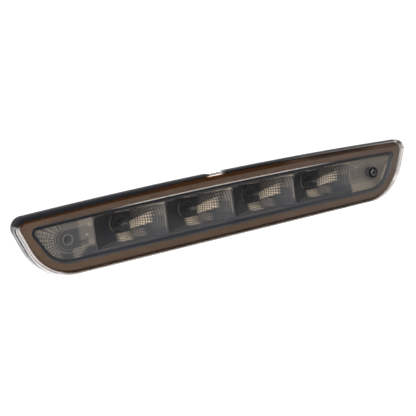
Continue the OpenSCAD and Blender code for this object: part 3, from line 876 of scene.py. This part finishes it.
def end_plate(name, centre_x, x0, x1, hole_r, relief):
    """A flat end of the reflector: rays from its boss or jet hole to the window's end.

    relief(r, angle, x, z) gives the height in front of the plate and its painted light and shade.
    """
    centre = np.array([centre_x, 0.0])
    border = window_border(x0, x1, PLATE_INSET)
    side = x1 if centre_x < 0 else x0
    corners = [
        math.atan2(p[1], p[0] - centre_x) for p in border if abs(p[0] - side) < 1e-6
    ]
    theta = directions(288, corners)
    ray = np.stack([np.cos(theta), np.sin(theta)], 1)
    outer = reach(border, centre, theta)
    loops, painted_shines = [], []
    t = np.concatenate([np.linspace(0, 0.35, 60)[:-1], np.linspace(0.35, 1, 90)])
    for s in t:
        r = hole_r + (outer - hole_r) * s
        xz = ray * r[:, None] + centre
        height, painted_shine = relief(r, theta, xz[:, 0], xz[:, 1])
        loops.append(loop(xz, PLATE_Y - height))
        painted_shines.append(np.broadcast_to(painted_shine, theta.shape))
    for s in (1.0, 0.5, 0.0):
        r = hole_r + (outer - hole_r) * s
        loops.append(loop(ray * r[:, None] + centre, PLATE_Y + PLATE_T))
        painted_shines.append(np.full(len(theta), PLAIN_PAINTED_SHINE))
    return ring_piece(name, loops, 50, {"painted_shine": np.stack(painted_shines)})


def spot(x, z, x0, z0, across, up):
    """A soft patch of the front view round a point."""
    return np.exp(-(((x - x0) / across) ** 2) - (((z - z0) / up) ** 2))


def left_relief(r, a, x, z):
    """Blank boss in rings, with rays, dots and chequers of small pillows round it. Its brightness is
    painted light: painted highlights on the boss's rim, rings, rays, pillows, chequers and corner
    ribs, painted shade in the boss's well and a painted dark band.
    """
    rim = np.exp(-(((r - 3.9) / 0.4) ** 2))
    well = 1 - step(r, 3.1, 3.5)
    left = step(-x, 155, 159)
    ring = 0.45 * np.exp(-(((r - 7.9) / 0.35) ** 2)) * step(np.abs(a), 1.2, 1.8)
    ring = ring + 0.6 * np.exp(-(((r - 10.2) / 0.4) ** 2)) * step(-x, 150, 156)
    under = step(-z, 5, 8) * (1 - step(x, -144, -140))
    ring = ring + 0.5 * under * np.exp(-(((r - 10.4) / 0.35) ** 2))
    field = step(r, 11.0, 12.0)
    pillow = cap((r - 11.0) / 2.1) ** 1.6 * cap(a / math.radians(9) + 0.5) ** 1.6
    check = np.clip(np.sin((x + z) * 1.9) * np.sin((x - z) * 1.9) * 2.2, 0, 1)
    lines = 0.5 + 0.5 * np.cos(z * 2.4 - x * 0.45)
    grains = 0.55 + 0.45 * np.sin(x * 3.1 + z * 1.7) * np.sin(x * 1.3 - z * 3.7)
    corner = step(x, -142, -138)
    chequer = step(-z, 6.5, 9.5) * step(x, -149, -145) * (1 - step(x - z, -130, -124))
    # Painted shade: a dark band to the right of the boss
    band = np.exp(-(((z + 4.2) / 2.0) ** 4)) * step(x, -143, -140) * (1 - step(x, -134.5, -133))
    height = 0.6 * rim - 0.5 * well + 0.2 * np.clip(ring, 0, 1)
    height = height + 0.35 * pillow * field * left + 0.22 * check * chequer + 0.2 * lines * corner
    # Painted highlights on the rim, rings, rays, pillows and chequers, and painted shade in the well
    painted_shine = 0.022 + 0.075 * step(z, 6.5, 8.5) * step(x, -158, -150)
    painted_shine = painted_shine + 0.14 * rim - 0.03 * well + 0.2 * ring
    painted_shine = painted_shine + field * left * (0.01 + 0.8 * pillow * grains**2)
    rays = np.clip(np.sin(a * 26), 0, 1) * step(r, 9, 12) * step(z, 3, 6) * step(-x, 151, 155)
    painted_shine = painted_shine + 0.16 * rays * (1 - 0.6 * left)
    painted_corner_glints = corner * step(z, -9.5, -7.5) * (0.055 + 0.045 * lines + 0.05 * grains)
    painted_shine = painted_shine + painted_corner_glints + 0.16 * spot(x, z, -130.8, 8, 1.2, 1.2)
    painted_shine = painted_shine + 0.24 * spot(x, z, -134, 0.8, 1.0, 1.0)
    painted_shine = painted_shine + 0.10 * spot(x, z, -131, -5.5, 2.4, 2.0) + 0.5 * check**2 * chequer
    return height, np.clip(painted_shine * (1 - 0.8 * band * (1 - 0.5 * lines)), 0.015, 1.0)


def right_relief(r, a, x, z):
    """Soft-faceted end round the jet's hole, with a slanted rib beyond it. Its brightness is painted
    light: painted highlights on the pillows, facets and rib, and a painted shadow along the jet's
    row.
    """
    field = step(r, 7.0, 9.5)
    pillow = cap((r - 7.0) / 2.6) * cap(a / math.radians(11) + 0.5)
    slant = ridge_line(x, z, 171, 2.5, 164.2, -8.5, 0.7)
    shadow = np.exp(-(((z - 0.5) / 5.5) ** 4)) * (0.55 + 0.45 * (1 - step(x, 146, 152)))
    height = 0.25 * pillow * field + 0.3 * slant
    ribs = 0.5 + 0.5 * np.sin(x * 2.1 + z * 0.4) * np.sin(z * 1.7)
    # Painted highlights on the pillows, facets and rib, and a painted shadow along the jet's row
    painted_shine = 0.12 + 0.09 * pillow * field + 0.03 * ribs + 0.36 * slant - 0.07 * shadow
    painted_shine = painted_shine + 0.08 * step(-z, 7, 9) * (1 - step(x, 150, 160))
    painted_shine = painted_shine + 0.12 * spot(x, z, 136, 6.8, 2.2, 1.0)
    painted_shine = painted_shine + 0.05 * spot(x, z, 134, 2.8, 1.5, 1.2)
    return height, np.clip(painted_shine, 0.02, 1.0)


# ---------------------------------------------------------------- pieces

dress(lens_shell(), FINISH["lens"], replaces=["lens"])
dress(gate_flat(), FINISH["painted_light_gate"])
dress(trim_band(), FINISH["brown"], replaces=["bezel"])
dress(trim_lip(), FINISH["lip"])
dress(inner_frame(), FINISH["navy"], replaces=["window_frame"])
for i, x0 in enumerate(BULB_X, 1):
    dress(
        reflector_cell(i, x0), FINISH["chrome"],
        replaces=["reflector"] if i == 1 else [],
    )
dress(
    end_plate("reflector_end_left", -JET_X, -PLATE_END, -2 * PITCH, 0.0, left_relief),
    FINISH["chrome"],
)
dress(
    end_plate("reflector_end_right", JET_X, 2 * PITCH, PLATE_END, 5.0, right_relief),
    FINISH["chrome"],
)

NODE_FINISH = {
    "housing": "black", "lens_seal": "sealant", "panel_gasket": "foam",
    "stud_left": "zinc", "stud_right": "zinc", "reflector_screws": "zinc",
    "vent_cap": "rubber", "vent_membrane": "membrane", "holder_seals": "rubber",
    "rail_feed": "brass", "rail_ground": "brass", "rail_rivets": "zinc", "plug_pins": "tin",
    "jet_body": "jet", "jet_ball": "ball", "jet_seal": "rubber", "jet_nut": "nut",
    "hose_nipple": "nut", "check_poppet": "poppet", "check_spring": "spring",
}
for i in BULBS:
    NODE_FINISH[f"bulb_holder_{i}"] = "holder"
    NODE_FINISH[f"holder_contacts_{i}"] = "contact"
    NODE_FINISH[f"bulb_{i}"] = "glass"
    NODE_FINISH[f"filament_{i}"] = "wire"

# Nodes that keep their exact mesh get their finish in place of the colour they came with
for node, finish in NODE_FINISH.items():
    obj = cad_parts[node]
    obj.data.materials.clear()
    obj.data.materials.append(FINISH[finish])

# ---------------------------------------------------------------- studio


LENS_LENGTH = 84.28  # of the camera, in millimetres
DISTANCE = 0.816  # from the camera to its target, in metres


def studio():
    """Pale floor below and behind the lamp, a soft dome that is dimmer in front, and soft lamps."""
    world = bpy.data.worlds.new("studio")
    bpy.context.scene.world = world
    world.use_nodes = True
    sky = Graph(world.node_tree)
    way = sky.node("ShaderNodeTexCoord", out="Generated")
    depth = sky.node("ShaderNodeSeparateXYZ", None, {0: way}, out="Y")
    dome = sky.node(
        "ShaderNodeMapRange", {"interpolation_type": "SMOOTHSTEP"},
        {"Value": depth, "From Min": -0.4, "From Max": 0.5, "To Min": 0.3, "To Max": 2.1},
    )
    seen = sky.node("ShaderNodeLightPath", out="Is Camera Ray")
    strength = sky.node("ShaderNodeMath", {"operation": "MAXIMUM"}, {0: seen, 1: dome})
    back = sky.tree.nodes["Background"]
    sky.feed(back.inputs["Strength"], strength)
    sky.feed(back.inputs["Color"], (1, 1, 1))

    floor_mesh = bpy.data.meshes.new("floor")
    size, near, low = 9.0, -0.3, -0.42
    floor_mesh.from_pydata(
        [(-size, near, low), (size, near, low), (size, size, low), (-size, size, low)],
        [], [(0, 1, 2, 3)],
    )
    floor = bpy.data.objects.new("floor", floor_mesh)
    bpy.context.scene.collection.objects.link(floor)
    pale = Paint("pale_floor", Base_Color=(0.93, 0.93, 0.93), Roughness=0.9)
    floor_mesh.materials.append(pale.material)

    def softbox(name, place, size, power):
        """A rectangular lamp that faces the middle of the brake light."""
        data = bpy.data.lights.new(name, "AREA")
        data.shape = "RECTANGLE"
        data.size, data.size_y = size
        data.energy = power
        lamp = bpy.data.objects.new(name, data)
        lamp.location = place
        lamp.rotation_euler = (-Vector(place)).to_track_quat("-Z", "Y").to_euler()
        bpy.context.scene.collection.objects.link(lamp)

    softbox("key", (-0.55, -0.75, 0.85), (0.8, 0.5), 15)
    softbox("side", (-1.1, -0.35, 0.15), (0.3, 0.8), 8)
    softbox("top", (0.1, 0.1, 1.1), (1.4, 0.5), 10)


def camera():
    """Long lens from the lamp's left and a little above, rolled so that the right end rises."""
    yaw, pitch, roll = (math.radians(v) for v in (31.444, 9.586, 6.632))
    target = Vector((0, -0.013, 0.007))
    away = Vector(
        (-math.sin(yaw) * math.cos(pitch), -math.cos(yaw) * math.cos(pitch), math.sin(pitch))
    )
    right = (-away).cross(Vector((0, 0, 1))).normalized()
    up = right.cross(-away)
    c, s = math.cos(roll), math.sin(roll)
    across, upward = c * right - s * up, s * right + c * up
    data = bpy.data.cameras.new("camera")
    data.sensor_width = 36
    data.lens = LENS_LENGTH
    data.shift_x, data.shift_y = -0.0641, -0.0313
    data.clip_start, data.clip_end = 0.01, 50
    eye = bpy.data.objects.new("camera", data)
    turn = Matrix((across, upward, away)).transposed().to_4x4()
    eye.matrix_world = Matrix.Translation(target + away * DISTANCE) @ turn
    bpy.context.scene.collection.objects.link(eye)
    bpy.context.scene.camera = eye


studio()
camera()
bpy.context.scene.view_settings.view_transform = "Standard"

bpy.context.view_layer.update()
